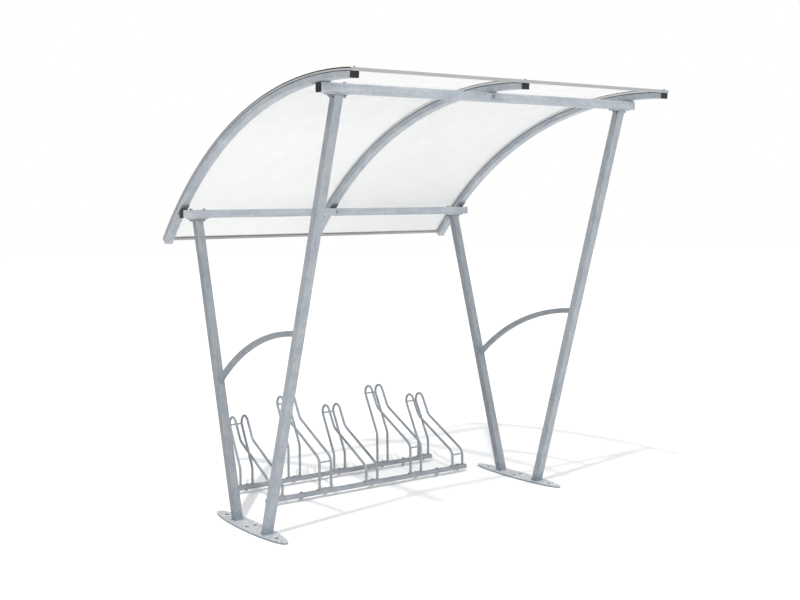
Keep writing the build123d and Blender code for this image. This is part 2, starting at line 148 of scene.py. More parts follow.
class ShelterStage(PropertyGroup):
    """Camera and lights."""
    camera_place: FloatVectorProperty(
        name="Camera place", description="Where the camera stands, from the base plates' centre line",
        default=(-4.004, -5.7523, 1.8143), unit="LENGTH", subtype="TRANSLATION")
    camera_turn: angle("Camera turn", -0.6153, "Heading")
    camera_tilt: angle("Camera tilt", 0.00916, "Above the horizontal")
    camera_roll: angle("Camera roll", -0.0112, "About the view axis")
    camera_lens: FloatProperty(
        name="Camera lens", description="Focal length in millimetres", default=50.842, min=1.0)
    camera_shift: FloatProperty(
        name="Camera shift", description="Vertical shift of the frame", default=-0.1301)
    surround_low: strength("Surround", 0.37, "Light of the white surround all round")
    surround_high: strength("Surround, bright side", 0.98, "Light added towards its bright side")
    bright_side: FloatVectorProperty(
        name="Bright side", description="Where the surround is brightest", size=3,
        default=(0.35, -0.55, 0.75), subtype="DIRECTION")
    lamp: strength("Lamp", 1.65, "Strength of the lamp")
    lamp_side: FloatVectorProperty(
        name="Lamp side", description="Where the lamp's light comes from", size=3,
        default=(-0.52, -0.425, 1.0), subtype="DIRECTION")
    lamp_size: angle("Lamp size", radians(2.0), "How wide the lamp shows from the shelter")
    floor_radius: size("Floor radius", 40.0, "Radius of the round floor")


def sizes():
    return bpy.context.scene.shelter_sizes


def colours():
    return bpy.context.scene.shelter_colours


# ---------------- places worked out from the frame
def middle(node):
    low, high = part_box(node)
    return (low + high) / 2


def roof_centre():
    """Depth and height of the line that the arches and the roof are bent about."""
    low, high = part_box("arch_left")
    inside, outside = sizes().arch_radius, sizes().arch_radius + sizes().arch_depth
    height = high.z - outside
    rear_angle = asin((low.z - height) / inside)
    return Vector((0, high.y - outside * cos(rear_angle), height))


def roof_angle(point):
    """Angle of a point about the roof's centre line, from the horizontal."""
    centre = roof_centre()
    return atan2(point.z - centre.z, point.y - centre.y)


def on_roof(x, radius, turn):
    return roof_centre() + Vector((x, radius * cos(turn), radius * sin(turn)))


def arch_places():
    return [middle(f"arch_{hand}").x for hand in ARCHES]


def post_ends(row, hand):
    """The two ends of a post's axis, on its base plate and below its top plate."""
    low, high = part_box(f"post_{row}_{hand}")
    head_y = middle(f"{row}_beam").y
    half = high.y - head_y if row == "rear" else head_y - low.y
    foot_y = low.y + half if row == "rear" else high.y - half
    x = (low.x + high.x) / 2
    return Vector((x, foot_y, low.z)), Vector((x, head_y, high.z))


def anchor_places(hand):
    """Where the anchors of a base plate go: near its ends, and side by side in its middle."""
    plate = middle(f"base_plate_{hand}")
    places = []
    for side in (-1, 1):
        places.append(plate + Vector((0, side * sizes().anchor_spacing / 2, 0)))
        places.append(plate + Vector((side * sizes().middle_anchors / 2, 0, 0)))
    return places


# ---------------- modelling
TOUCH = 1e-6                    # places nearer than this are the same
SMOOTH_BELOW = radians(32)      # faces that meet at a flatter angle are shaded as one


def select_only(pieces):
    for other in bpy.context.selected_objects:
        other.select_set(False)
    for piece in pieces:
        piece.select_set(True)
    bpy.context.view_layer.objects.active = pieces[0]


def start(name, primitive, **settings):
    """A new primitive, alone in the selection, with its place and turn in its mesh."""
    for other in bpy.context.selected_objects:
        other.select_set(False)
    primitive(**settings)
    piece = bpy.context.active_object
    piece.name = piece.data.name = name
    bpy.ops.object.transform_apply(location=True, rotation=True, scale=True)
    return piece


def start_round(name, diameter, base, height, vertices):
    """A cylinder that stands at a base height."""
    return start(name, bpy.ops.mesh.primitive_cylinder_add, vertices=vertices, radius=diameter / 2,
                 depth=height, location=(0, 0, base + height / 2))


class Editing:
    """Edit mode on one piece, with nothing selected at first."""

    def __init__(self, piece, pick="FACE"):
        self.piece, self.pick = piece, pick

    def __enter__(self):
        select_only([self.piece])
        bpy.ops.object.mode_set(mode="EDIT")
        bpy.ops.mesh.select_mode(type=self.pick)
        bpy.ops.mesh.select_all(action="DESELECT")
        return self

    def __exit__(self, *problem):
        bpy.ops.object.mode_set(mode="OBJECT")

    def all(self):
        bpy.ops.mesh.select_all(action="SELECT")

    def faces(self, test):
        """Selects the faces whose centre and normal pass a test."""
        self._choose("faces", lambda face: test(face.calc_center_median(), face.normal))

    def edges(self, test):
        """Selects the edges whose two ends pass a test."""
        self._choose("edges", lambda edge: test(*(vertex.co for vertex in edge.verts)))

    def edges_at(self, height):
        self.edges(lambda a, b: abs(a.z - height) < TOUCH and abs(b.z - height) < TOUCH)

    def _choose(self, kind, test):
        bpy.ops.mesh.select_all(action="DESELECT")
        mesh = bmesh.from_edit_mesh(self.piece.data)
        for element in getattr(mesh, kind):
            if test(element):
                element.select_set(True)
        mesh.select_flush_mode()
        bmesh.update_edit_mesh(self.piece.data)


def extrude(*move):
    bpy.ops.mesh.extrude_region_move(TRANSFORM_OT_translate={"value": move})


def resize(x, y):
    bpy.ops.transform.resize(value=(x, y, 1), center_override=(0, 0, 0))


def join(name, parts):
    select_only(parts)
    if len(parts) > 1:
        bpy.ops.object.join()
    piece = bpy.context.active_object
    piece.name = piece.data.name = name
    return piece


def place(piece, spot, tilt=0.0):
    """Tilts a piece about X, moves it to its spot and puts both into its mesh."""
    piece.rotation_euler = (tilt, 0, 0)
    piece.location = spot
    select_only([piece])
    bpy.ops.object.transform_apply(location=True, rotation=True, scale=True)
    return piece


def copies(name, model, spots):
    """Copies of a model at (spot, tilt) places, as one piece. The model goes."""
    parts = []
    for spot, tilt in spots:
        part = model.copy()
        part.data = model.data.copy()
        bpy.context.collection.objects.link(part)
        parts.append(place(part, spot, tilt))
    bpy.data.objects.remove(model)
    return join(name, parts)


def complete(piece, material):
    """Gives a new piece its finish and fixes it to the shelter."""
    piece.data.materials.clear()
    piece.data.materials.append(material)
    select_only([piece])
    bpy.ops.object.shade_smooth_by_angle(angle=SMOOTH_BELOW)
    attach(piece, "root")
    return piece


def add_steel(name, model, spots, finish):
    """A piece of galvanised steel, made of copies of a model."""
    return complete(copies(name, model, spots), finish)


def refinish(nodes, material):
    """Gives CAD nodes a finish."""
    for name in nodes:
        for slot in NODES[name].material_slots:
            slot.material = material


# ---------------- shader arithmetic
class Shade:
    """A value or colour inside a material, so that its mixing reads as arithmetic."""

    def __init__(self, tree, socket=None):
        self.tree, self.socket = tree, socket

    def node(self, kind, settings=None, inputs=None, output=0):
        """Adds a node: first its settings, then the values or links of its sockets."""
        made = self.tree.nodes.new(kind)
        for name, value in (settings or {}).items():
            setattr(made, name, value)
        for name, value in (inputs or {}).items():
            if isinstance(value, Shade):
                self.tree.links.new(value.socket, made.inputs[name])
            else:
                made.inputs[name].default_value = value
        return Shade(self.tree, made.outputs[output])

    def math(self, operation, *values):
        return self.node("ShaderNodeMath", {"operation": operation}, dict(enumerate(values)))

    def vector_math(self, operation, *values):
        """The number that a vector operation gives."""
        return self.node("ShaderNodeVectorMath", {"operation": operation}, dict(enumerate(values)), "Value")

    def __add__(self, other):
        return self.math("ADD", self, other)

    __radd__ = __add__

    def __sub__(self, other):
        return self.math("SUBTRACT", self, other)

    def __rsub__(self, other):
        return self.math("SUBTRACT", other, self)

    def __mul__(self, other):
        return self.math("MULTIPLY", self, other)

    __rmul__ = __mul__

    def clamp(self):
        return self.node("ShaderNodeClamp", inputs={0: self})

    def between(self, low, high):
        """From 0 to 1 as this value goes from low to high."""
        smooth = {"interpolation_type": "SMOOTHSTEP"}
        return self.node("ShaderNodeMapRange", smooth, {0: self, 1: low, 2: high})

    def mix(self, low, high):
        """The colour that is low at 0 and high at 1."""
        inputs = {0: self, 6: opaque(low), 7: opaque(high)}
        return self.node("ShaderNodeMix", {"data_type": "RGBA"}, inputs, 2)

    def axis(self, number):
        return self.node("ShaderNodeSeparateXYZ", inputs={0: self}, output=number)


def opaque(tone):
    return tone if isinstance(tone, Shade) or len(tone) == 4 else (*tone, 1.0)


def scaled(tone, factor, lift=0.0):
    """A colour made darker or brighter, and lifted evenly."""
    return tuple(factor * part + lift for part in tone)


def surface(name, build):
    """A material. build takes its Object coordinates and gives the shader's sockets."""
    material = bpy.data.materials.new(name)
    material.use_nodes = True
    tree = material.node_tree
    shader = tree.nodes["Principled BSDF"]
    point = Shade(tree).node("ShaderNodeTexCoord", output="Object")
    for socket, value in build(point).items():
        if isinstance(value, Shade):
            tree.links.new(value.socket, shader.inputs[socket])
        else:
            shader.inputs[socket].default_value = opaque(value) if socket == "Base Color" else value
    return material


def cloud(point, scale, detail=3.0, stretch=(1, 1, 1)):
    """Soft noise from 0 to 1, drawn out along an axis where its stretch is small."""
    drawn = point.node("ShaderNodeMapping", inputs={"Vector": point, "Scale": stretch})
    return point.node("ShaderNodeTexNoise", inputs={"Vector": drawn, "Scale": scale, "Detail": detail})


def crystals(point, scale):
    """One value from 0 to 1 in each crystal of the zinc."""
    cells = point.node("ShaderNodeTexVoronoi", inputs={"Vector": point, "Scale": scale}, output="Color")
    return cells.node("ShaderNodeSeparateColor", inputs={0: cells})


def layered(*layers):
    """One tone about a half, from (noise, weight) layers."""
    tone = 0.5
    for noise, weight in layers:
        tone = tone + weight * (noise - 0.5)
    return tone


def bump(height, strength, depth):
    return height.node("ShaderNodeBump", inputs={"Strength": strength, "Distance": depth, "Height": height})


# ---------------- finishes
def hot_dip_zinc(name, dark, light, spangle=75.0, drawn=(1, 1, 1), foot=False):
    """Hot-dip galvanised steel: crystals, cloudy patches, and runs and streaks drawn along the piece.

    A piece with a foot gets painted shade towards the ground.
    """
    foot_low, foot_high = 0.010, 0.080

    def build(point):
        crystal = crystals(point, spangle)
        patches = cloud(point, 9.0, detail=4.0)
        runs = cloud(point, 30.0, stretch=drawn)
        streaks = cloud(point, 110.0, stretch=drawn)
        grain = cloud(point, 260.0)
        tone = layered((crystal, 0.45), (patches, 1.1), (runs, 0.9), (streaks, 0.9), (grain, 0.7))
        if foot:
            # painted shade: the zinc darkens from foot_high down to foot_low, near the ground
            tone = tone - 1.1 * (1.0 - point.axis(2).between(foot_low, foot_high))
        return {
            "Base Color": tone.clamp().mix(dark, light),
            "Metallic": 0.45,
            "Roughness": 0.42 + 0.16 * crystal + 0.14 * patches,
            "Normal": bump(0.6 * crystal + grain, strength=0.12, depth=0.0006),
        }

    return surface(name, build)


def painted_hole_shade(point):
    """Painted shade round the anchor holes of the base plates: 1 at the holes, down to 0 a little beyond
    their rims.
    """
    full, gone = 0.012, 0.019
    hole_shade = 0.0
    for hand in HANDS:
        for spot in anchor_places(hand):
            reach = point.vector_math("DISTANCE", point, tuple(spot))
            hole_shade = hole_shade + (1.0 - reach.between(full, gone))
    return hole_shade


def plate_zinc(name):
    """Bright, glossy zinc of the base plates, dull on their sawn edges, in their holes and round them; the
    darkness there is painted shade on duller zinc.
    """
    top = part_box("base_plate_left")[1].z

    def build(point):
        crystal = crystals(point, 130.0)
        patches = cloud(point, 14.0, detail=4.0)
        grain = cloud(point, 260.0)
        tone = layered((crystal, 0.7), (patches, 0.8), (grain, 0.7)).clamp()
        # the plates' tops are bright, except for painted shade round the anchor holes
        bright = point.axis(2).between(0.85 * top, 0.99 * top) * (1.0 - 0.85 * painted_hole_shade(point))
        # painted shade on the side faces and hole walls, over their rougher zinc
        dull = scaled(colours().plate_dark, colours().plate_edge_shade)
        return {
            "Base Color": bright.mix(dull, tone.mix(colours().plate_dark, colours().plate_light)),
            "Metallic": 0.4,
            "Roughness": 0.55 - bright * (0.37 - 0.12 * crystal),
            "Normal": bump(0.5 * crystal + grain, strength=0.22, depth=0.0006),
        }

    return surface(name, build)


def zinc_tones(factor):
    """The two greys of the zinc, as dark or bright as on one kind of piece."""
    return [scaled(tone, factor) for tone in (colours().zinc_dark, colours().zinc_light)]


def drawn_aluminium(name, drawn, factor=1.0, edge=None):
    """Mill-finish aluminium with fine lines along the extrusion. edge may colour its edges."""
    dark, light = (scaled(tone, factor) for tone in (colours().mill_dark, colours().mill_light))

    def build(point):
        lines = cloud(point, 12.0, detail=4.0, stretch=drawn)
        haze = cloud(point, 7.0)
        tone = layered((lines, 0.9), (haze, 0.6)).clamp().mix(dark, light)
        return {
            "Base Color": edge(point, tone) if edge else tone,
            "Metallic": 0.6,
            "Roughness": 0.30 + 0.18 * haze,
            "Normal": bump(lines, strength=0.10, depth=0.0004),
        }

    return surface(name, build)


def lipped_aluminium(name):
    """Aluminium of the glazing bars, with the dark lip of the cover strips on the roof's outer sides."""
    centre = roof_centre()
    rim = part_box("glazing_bar_left")[1].z - centre.z - sizes().cover_lip
    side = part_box("glazing_bar_right")[1].x
    fade = 0.0003

    def finish(point, tone):
        to_centre = {"Vector": point, "Location": (0, -centre.y, -centre.z), "Scale": (0, 1, 1)}
        spoke = point.node("ShaderNodeMapping", inputs=to_centre)
        radius = spoke.vector_math("LENGTH", spoke)
        outward = (point.axis(0) * point.axis(0)).between((side - 2 * fade) ** 2, (side - fade) ** 2)
        return (radius.between(rim - fade, rim) * outward).mix(tone, colours().trim)

    return drawn_aluminium(name, drawn=(40, 0.4, 0.4), edge=finish)


def moulded_black(name, tone):
    """Moulded black plastic with a fine grain and a little dust."""

    def build(point):
        grain = cloud(point, 900.0, detail=2.0)
        dust = cloud(point, 45.0, detail=4.0).between(0.45, 0.8)
        return {
            "Base Color": (0.6 * dust).mix(tone, scaled(tone, 0.8, lift=0.03)),
            "Roughness": 0.42 + 0.2 * dust,
            "Specular IOR Level": 0.3,
            "Normal": bump(grain, strength=0.25, depth=0.0004),
        }

    return surface(name, build)


def pressed_rubber(name, tone):
    """Matt rubber strip with fine ribs along its run."""

    def build(point):
        across = {"Vector": point, "Scale": 120.0, "Distortion": 0.4}
        ribs = point.node("ShaderNodeTexWave", {"bands_direction": "X"}, across, "Fac")
        chalk = cloud(point, 60.0, detail=4.0).between(0.4, 0.85)
        return {
            "Base Color": (0.7 * chalk).mix(tone, scaled(tone, 1.0, lift=0.02)),
            "Roughness": 0.62 + 0.2 * chalk,
            "Specular IOR Level": 0.15,
            "Normal": bump(ribs + cloud(point, 500.0), strength=0.2, depth=0.0005),
        }

    return surface(name, build)


def clear_sheet(name):
    """Clear polycarbonate with hazy dust and painted reflection, and pale tape on its edges in the glazing
    bars' grooves.

    Most of the haze lies by the rear eaves and to the right, and least on the front overhang; the rise to the
    right is painted reflection.
    """
    beam = middle("front_beam").y
    inner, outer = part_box("glazing_bar_middle")[1].x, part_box("glazing_bar_right")[0].x
    fade = 0.001
    left, right = -0.8, 0.9
    eaves, slope, crest, apex = 1.7, 2.2, 2.4, 2.42
    overhang_end, roof_start = beam + 0.1, beam + 0.5

    def dust_and_reflection(point, haze):
        """How much of the light the dust and the painted reflection stop."""
        streaks = cloud(point, 14.0, stretch=(1.0, 0.12, 0.12))
        # painted reflection: the sheet grows hazier to the right through this mask
        rightwards = point.axis(0).between(left, right)
        down = 1.0 - point.axis(2).between(eaves, crest)
        high = point.axis(2).between(slope, apex)
        behind = 0.15 + 0.85 * point.axis(1).between(overhang_end, roof_start)
        dust = 0.045 + 0.03 * haze + 0.02 * streaks + 0.045 * rightwards * (1.0 + down)
        return behind * (dust + 0.06 * high * (1.0 - rightwards))

    def taped(point):
        """1 where the glazing bars cover the sheet, 0 on the rest."""
        across = point.axis(0) * point.axis(0)
        clear_of_middle = across.between(inner ** 2, (inner + fade) ** 2)
        return 1.0 - clear_of_middle + across.between((outer - fade) ** 2, outer ** 2)

    def build(point):
        haze = cloud(point, 5.0, detail=5.0)
        tape = taped(point)
        hazy = haze.mix(scaled(colours().sheet, 0.93), colours().sheet)
        return {
            "Base Color": tape.mix(hazy, colours().tape),
            "Alpha": dust_and_reflection(point, haze) * (1.0 - tape) + 0.9 * tape,
            "Roughness": 0.22 + 0.15 * haze,
        }

    return surface(name, build)


def plated_steel(name):
    """Bright zinc plating of bolts and screws, duller in its patches."""

    def build(point):
        patches = cloud(point, 160.0)
        scratches = cloud(point, 700.0, detail=2.0)
        bright = (0.3 + 0.9 * (patches - 0.4)).clamp()
        return {
            "Base Color": bright.mix(scaled(colours().fastener, 0.62), colours().fastener),
            "Metallic": 0.8,
            "Roughness": 0.28 + 0.25 * patches,
            "Normal": bump(scratches, strength=0.1, depth=0.0003),
        }

    return surface(name, build)


def weld_metal(name):
    """Zinc over a weld bead: ripples across it and a darker skin."""

    def build(point):
        ripples = cloud(point, 300.0, detail=2.0)
        patches = cloud(point, 40.0)
        dark, light = scaled(colours().zinc_dark, 0.6), scaled(colours().zinc_light, 0.75)
        return {
            "Base Color": (0.3 * ripples + 0.7 * patches).mix(dark, light),
            "Metallic": 0.45,
            "Roughness": 0.45 + 0.25 * ripples,
            "Normal": bump(ripples, strength=0.5, depth=0.0012),
        }

    return surface(name, build)


def plain_floor(name):
    """Pale, even floor with the faintest mottle."""

    def build(point):
        mottle = cloud(point, 3.0, detail=5.0)
        return {
            "Base Color": mottle.mix(scaled(colours().floor, 0.985), colours().floor),
            "Roughness": 0.85 + 0.08 * mottle,
        }

    return surface(name, build)


class SHELTER_OT_finish_steelwork(Operator):
    """Hot-dip zinc on the frames, beams, arches and rack"""
    bl_idname = "shelter.finish_steelwork"
    bl_label = "Steelwork finishes"

    def execute(self, context):
        tones = colours()
        for row, factor in (("front", tones.front_posts), ("rear", tones.rear_posts)):
            posts = [f"post_{row}_{hand}" for hand in HANDS]
            self.finish(posts, f"{row}_posts", factor, drawn=(1, 1, 0.08), foot=True)
        heads = [f"top_plate_{row}_{hand}" for row in ROWS for hand in HANDS]
        beams = [f"{row}_beam" for row in ROWS]
        self.finish(beams + heads, "beams", tones.beams, drawn=(0.08, 1, 1))
        arches = [f"arch_{hand}" for hand in ARCHES]
        self.finish(arches, "arches", tones.arches, drawn=(1, 0.2, 0.2))
        small = [f"brace_{hand}" for hand in HANDS] + [f"cleats_{row}" for row in ROWS]
        # the braces and cleats share the rear posts' painted shade
        self.finish(small, "small_parts", tones.rear_posts, spangle=110.0)
        refinish([f"base_plate_{hand}" for hand in HANDS], plate_zinc("zinc_on_base_plates"))
        rails = [f"rack_rail_{row}" for row in ROWS]
        self.finish(rails + HOLDERS, "rack", tones.rack, spangle=120.0)
        # painted light: the spacers under the rails get the beams' brighter zinc so their shade hardly shows
        self.finish(["rack_feet"], "rack_feet", tones.beams, spangle=120.0)
        return {"FINISHED"}

    def finish(self, nodes, kind, factor, **pattern):
        refinish(nodes, hot_dip_zinc(f"zinc_on_{kind}", *zinc_tones(factor), **pattern))


class SHELTER_OT_finish_trim(Operator):
    """Aluminium, rubber and plastic of the roof's edges and bars"""
    bl_idname = "shelter.finish_trim"
    bl_label = "Trim finishes"

    def execute(self, context):
        tones = colours()
        refinish([f"glazing_bar_{hand}" for hand in ARCHES], lipped_aluminium("aluminium_bars"))
        channels = drawn_aluminium("aluminium_channels", drawn=(0.4, 40, 40), factor=tones.channels)
        refinish([f"{row}_channel" for row in ROWS], channels)
        refinish([f"gasket_{hand}" for hand in ARCHES], pressed_rubber("rubber_gaskets", tones.rubber))
        refinish([f"cover_strip_{hand}" for hand in ARCHES], pressed_rubber("trim_strips", tones.trim))
        caps = ["arch_caps"] + [f"beam_caps_{row}" for row in ROWS]
        refinish(caps, moulded_black("plastic_caps", tones.plastic))
        return {"FINISHED"}


# ---------------- roof sheets
class SHELTER_OT_add_roof_sheets(Operator):
    """Twin-wall roof sheets with flutes along the arc"""
    bl_idname = "shelter.add_roof_sheets"
    bl_label = "Fluted roof sheets"

    def execute(self, context):
        material = clear_sheet("clear_fluted_sheet")
        for hand in HANDS:
            piece = self.sheet(f"fluted_sheet_{hand}", f"roof_sheet_{hand}")
            complete(piece, material)
            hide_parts(f"roof_sheet_{hand}")
        return {"FINISHED"}

    def sheet(self, name, node):
        """Draws the section of one flute, repeats it across the sheet and spins it along the arc."""
        low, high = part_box(node)
        centre, wall = roof_centre(), sizes().sheet_skin
        outside = high.z - centre.z
        inside = outside - sizes().sheet_thickness
        front_angle = acos((low.y - centre.y) / outside)
        rear_angle = asin((low.z - centre.z) / inside)
        pitch = (high.x - low.x - wall) / sizes().flutes
        piece = self.flute(name, low.x, inside, outside, pitch)
        self.repeat(piece, pitch)
        self.close(piece, high.x - wall, inside, outside)
        place(piece, (0, centre.y, centre.z), front_angle - pi / 2)
        with Editing(piece) as section:
            section.all()
            bpy.ops.mesh.spin(steps=40, angle=front_angle - rear_angle, center=(0, centre.y, centre.z),
                              axis=(1, 0, 0))
            section.all()
            bpy.ops.mesh.remove_doubles(threshold=wall / 10)
            bpy.ops.mesh.normals_make_consistent(inside=False)
        return piece

    def flute(self, name, left, inside, outside, pitch):
        """A web, from skin to skin, and the two skins on its right, up to the next web."""
        wall = sizes().sheet_skin
        piece = start(name, bpy.ops.mesh.primitive_plane_add, size=wall,
                      location=(left + wall / 2, 0, inside + wall / 2), rotation=(pi / 2, 0, 0))

        def beside_skins(a, b):
            height = (a.z + b.z) / 2
            in_web = inside + wall < height < outside - wall
            return min(a.x, b.x) > left + wall - TOUCH and not in_web

        with Editing(piece, "EDGE") as section:
            top = inside + wall
            for rise in (outside - inside - 2 * wall, wall):
                section.edges_at(top)
                extrude(0, 0, rise)
                top += rise
            section.edges(beside_skins)
            extrude(pitch - wall, 0, 0)
        return piece

    def repeat(self, piece, pitch):
        rows = piece.modifiers.new("flutes", "ARRAY")
        rows.count = sizes().flutes
        rows.use_relative_offset = False
        rows.use_constant_offset = True
        rows.constant_offset_displace = (pitch, 0, 0)
        rows.use_merge_vertices = True
        rows.merge_threshold = sizes().sheet_skin / 10
        bpy.ops.object.modifier_apply(modifier=rows.name)

    def close(self, piece, end, inside, outside):
        """The last web, which closes the section on its right."""
        wall = sizes().sheet_skin
        near = 10 * TOUCH

        def between_skins(a, b):
            return abs(a.x - b.x) > wall / 2 and inside + wall / 2 < a.z < outside - wall / 2

        with Editing(piece, "EDGE") as section:
            section.edges(lambda a, b: min(a.x, b.x) > end - near)
            extrude(wall, 0, 0)
            section.edges(lambda a, b: min(a.x, b.x) > end - near and between_skins(a, b))
            bpy.ops.mesh.edge_face_add()


# ---------------- fasteners
M10, M8, M6, M5 = 0.010, 0.008, 0.006, 0.005        # diameters of bolts and screws


def hexagon(flats, height, base, chamfer_below=False):
    """Six-sided head or nut standing at a base height, its corners chamfered."""
    piece = start_round("hexagon", 2 * flats / sqrt(3), base, height, vertices=6)
    ends = [base + height] + ([base] if chamfer_below else [])
    with Editing(piece, "EDGE") as block:
        for end in ends:
            block.edges_at(end)
            bpy.ops.mesh.bevel(offset=flats * 0.07, segments=2, affect="EDGES")
    return piece


def washer(diameter, thickness, base):
    """Flat washer with broken edges."""
    piece = start_round("washer", diameter, base, thickness, vertices=28)
    with Editing(piece, "EDGE") as rim:
        for end in (base, base + thickness):
            rim.edges_at(end)
            bpy.ops.mesh.bevel(offset=thickness * 0.2, segments=1, affect="EDGES")
    return piece


def threaded_rod(diameter, top, bottom, thread):
    """Shank down to a height where its thread shows, then the ridges of the thread."""
    pitch, core, point = diameter * 0.15, 0.88, 0.8
    piece = start_round("shank", diameter, bottom + thread, top - bottom - thread, vertices=16)
    with Editing(piece) as rod:
        rod.faces(lambda centre, normal: normal.z < -0.9)
        for ridge in range(int(thread / pitch)):
            for scale in (core, 1 / core):
                extrude(0, 0, -pitch / 2)
                resize(scale, scale)
        extrude(0, 0, -pitch / 2)
        resize(point, point)
    return piece


def bolt(diameter, grip, stick_out):
    """Bolt with its head above zero and its nut below the grip, washers under both."""
    flats, head, nut = 1.6 * diameter, 0.64 * diameter, 0.8 * diameter
    disc, sheet = 1.8 * diameter, 0.16 * diameter
    end = -grip - sheet - nut - stick_out
    parts = [
        washer(disc, sheet, 0),
        hexagon(flats, head, sheet),
        threaded_rod(diameter, sheet + head / 2, end, stick_out),
        washer(disc, sheet, -grip - sheet),
        hexagon(flats, nut, -grip - sheet - nut, chamfer_below=True),
    ]
    return join("bolt", parts)


def screw(diameter, head, disc):
    """Hexagon-head screw with a pressed-on washer, driven in at zero."""
    sheet = 0.3 * diameter
    parts = [
        washer(disc, sheet, 0),
        hexagon(1.6 * diameter, head, sheet),
        threaded_rod(diameter, sheet, -2 * diameter, diameter),
    ]
    return join("screw", parts)


def round_screw(diameter, head, width):
    """Low round-head screw with a dished crown, driven in at zero."""
    piece = start_round("round_screw", width, 0, head, vertices=20)
    with Editing(piece, "EDGE") as rim:
        rim.edges_at(head)
        bpy.ops.mesh.bevel(offset=head * 0.7, segments=4, affect="EDGES")
    with Editing(piece) as crown:
        crown.faces(lambda centre, normal: normal.z > 0.99)
        bpy.ops.mesh.inset(thickness=width * 0.08)
        extrude(0, 0, -head * 0.45)
    return join("round_screw", [piece, threaded_rod(diameter, head / 3, -2 * diameter, diameter)])


class SHELTER_OT_add_frame_bolts(Operator):
    """Bolts that hold the beams on the posts' plates, and the cleats on the beams"""
    bl_idname = "shelter.add_frame_bolts"
    bl_label = "Frame bolts"

    def execute(self, context):
        zinc = plated_steel("plated_frame_bolts")
        upright, across, behind = [], [], []
        for row in ROWS:
            beam_low, beam_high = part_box(f"{row}_beam")
            depth, height = (beam_low.y + beam_high.y) / 2, (beam_low.z + beam_high.z) / 2
            for hand in HANDS:
                x = middle(f"top_plate_{row}_{hand}").x
                for side in (-1, 1):
                    upright.append(((x + side * sizes().bolt_spacing / 2, depth, beam_high.z), 0))
                behind.append(((middle(f"arch_{hand}").x, beam_high.y + sizes().cleat, height), -pi / 2))
            across.append(((middle("arch_middle").x, beam_low.y, height), pi / 2))
        beam_low, beam_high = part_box("front_beam")
        plate_low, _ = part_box("top_plate_front_left")
        tall = beam_high.z - plate_low.z
        deep = beam_high.y - beam_low.y + sizes().cleat
        add_steel("beam_bolts", bolt(M10, grip=tall, stick_out=0.005), upright, zinc)
        add_steel("cleat_bolts", bolt(M10, grip=deep, stick_out=0.005), across, zinc)
        add_steel("end_cleat_bolts", screw(M10, head=0.0064, disc=0.020), behind, zinc)
        return {"FINISHED"}


class SHELTER_OT_add_vent_plugs(Operator):
    """Plugs of the vent holes through the front posts, below their heads"""
    bl_idname = "shelter.add_vent_plugs"
    bl_label = "Vent plugs"

    def execute(self, context):
        vent = sizes().vent
        spots = []
        for hand in HANDS:
            plate = middle(f"top_plate_front_{hand}")
            plate_low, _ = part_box(f"top_plate_front_{hand}")
            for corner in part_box(f"post_front_{hand}"):
                spots.append(((corner.x, plate.y - vent / 2, plate_low.z - vent), 0))
        black = moulded_black("black_vent_plugs", colours().plastic)
        complete(copies("vent_plugs", self.plug(vent, sizes().vent_head), spots), black)
        return {"FINISHED"}

    def plug(self, diameter, proud):
        """A plug with a low rounded head at both ends, across zero along X."""
        plug = start("vent_plug", bpy.ops.mesh.primitive_cylinder_add, vertices=24, radius=diameter / 2,
                     depth=2 * proud, rotation=(0, pi / 2, 0))
        with Editing(plug, "EDGE") as rim:
            rim.edges(lambda a, b: abs(a.x - b.x) < TOUCH)
            bpy.ops.mesh.bevel(offset=0.6 * proud, segments=3, affect="EDGES")
        return plug


class SHELTER_OT_add_roof_screws(Operator):
    """Screws through the edge channels into the bars, and through the cleats into the arches"""
    bl_idname = "shelter.add_roof_screws"
    bl_label = "Roof screws"

    def execute(self, context):
        zinc = plated_steel("plated_roof_screws")
        front, rear = (self.channel_spots(row) for row in ROWS)
        add_steel("front_channel_screws", screw(M5, head=0.0042, disc=0.012), front, zinc)
        add_steel("rear_channel_screws", round_screw(M5, head=0.0024, width=0.008), rear, zinc)
        seats = [spot for row in ROWS for spot in self.cleat_spots(row)]
        add_steel("cleat_screws", screw(M6, head=0.005, disc=0.014), seats, zinc)
        return {"FINISHED"}

    def channel_spots(self, row):
        """On the channel's outer face, at each arch."""
        centre = middle(f"{row}_channel")
        turn = roof_angle(centre)
        radius = (centre - roof_centre()).yz.length + sizes().channel_height / 2
        return [(on_roof(x, radius, turn), turn - pi / 2) for x in arch_places()]

    def cleat_spots(self, row):
        """Under the cleats' seats, behind the beam's upper corner."""
        _, beam_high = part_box(f"{row}_beam")
        turn = roof_angle(beam_high) - sizes().cleat_screw / sizes().arch_radius
        radius = sizes().arch_radius - sizes().cleat
        return [(on_roof(x, radius, turn), turn + pi / 2) for x in arch_places()]


class SHELTER_OT_add_rack_bolts(Operator):
    """Bolts of the wheel holders and anchors of the rack"""
    bl_idname = "shelter.add_rack_bolts"
    bl_label = "Rack bolts"

    def execute(self, context):
        zinc = plated_steel("plated_rack_bolts")
        rails = [middle(f"rack_rail_{row}").y for row in ROWS]
        rail_low, rail_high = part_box("rack_rail_front")
        plate_top = rail_high.z + sizes().foot_plate
        feet = [((middle(name).x, depth, plate_top), 0) for name in HOLDERS for depth in rails]
        add_steel("holder_bolts", bolt(M8, grip=plate_top - rail_low.z, stick_out=0.002), feet, zinc)
        low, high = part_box("rack_feet")
        half = sizes().rack_foot / 2
        anchors = [((x, depth, rail_high.z), 0) for x in (low.x + half, high.x - half) for depth in rails]
        add_steel("rack_anchors", screw(M10, head=0.0064, disc=0.020), anchors, zinc)
        return {"FINISHED"}


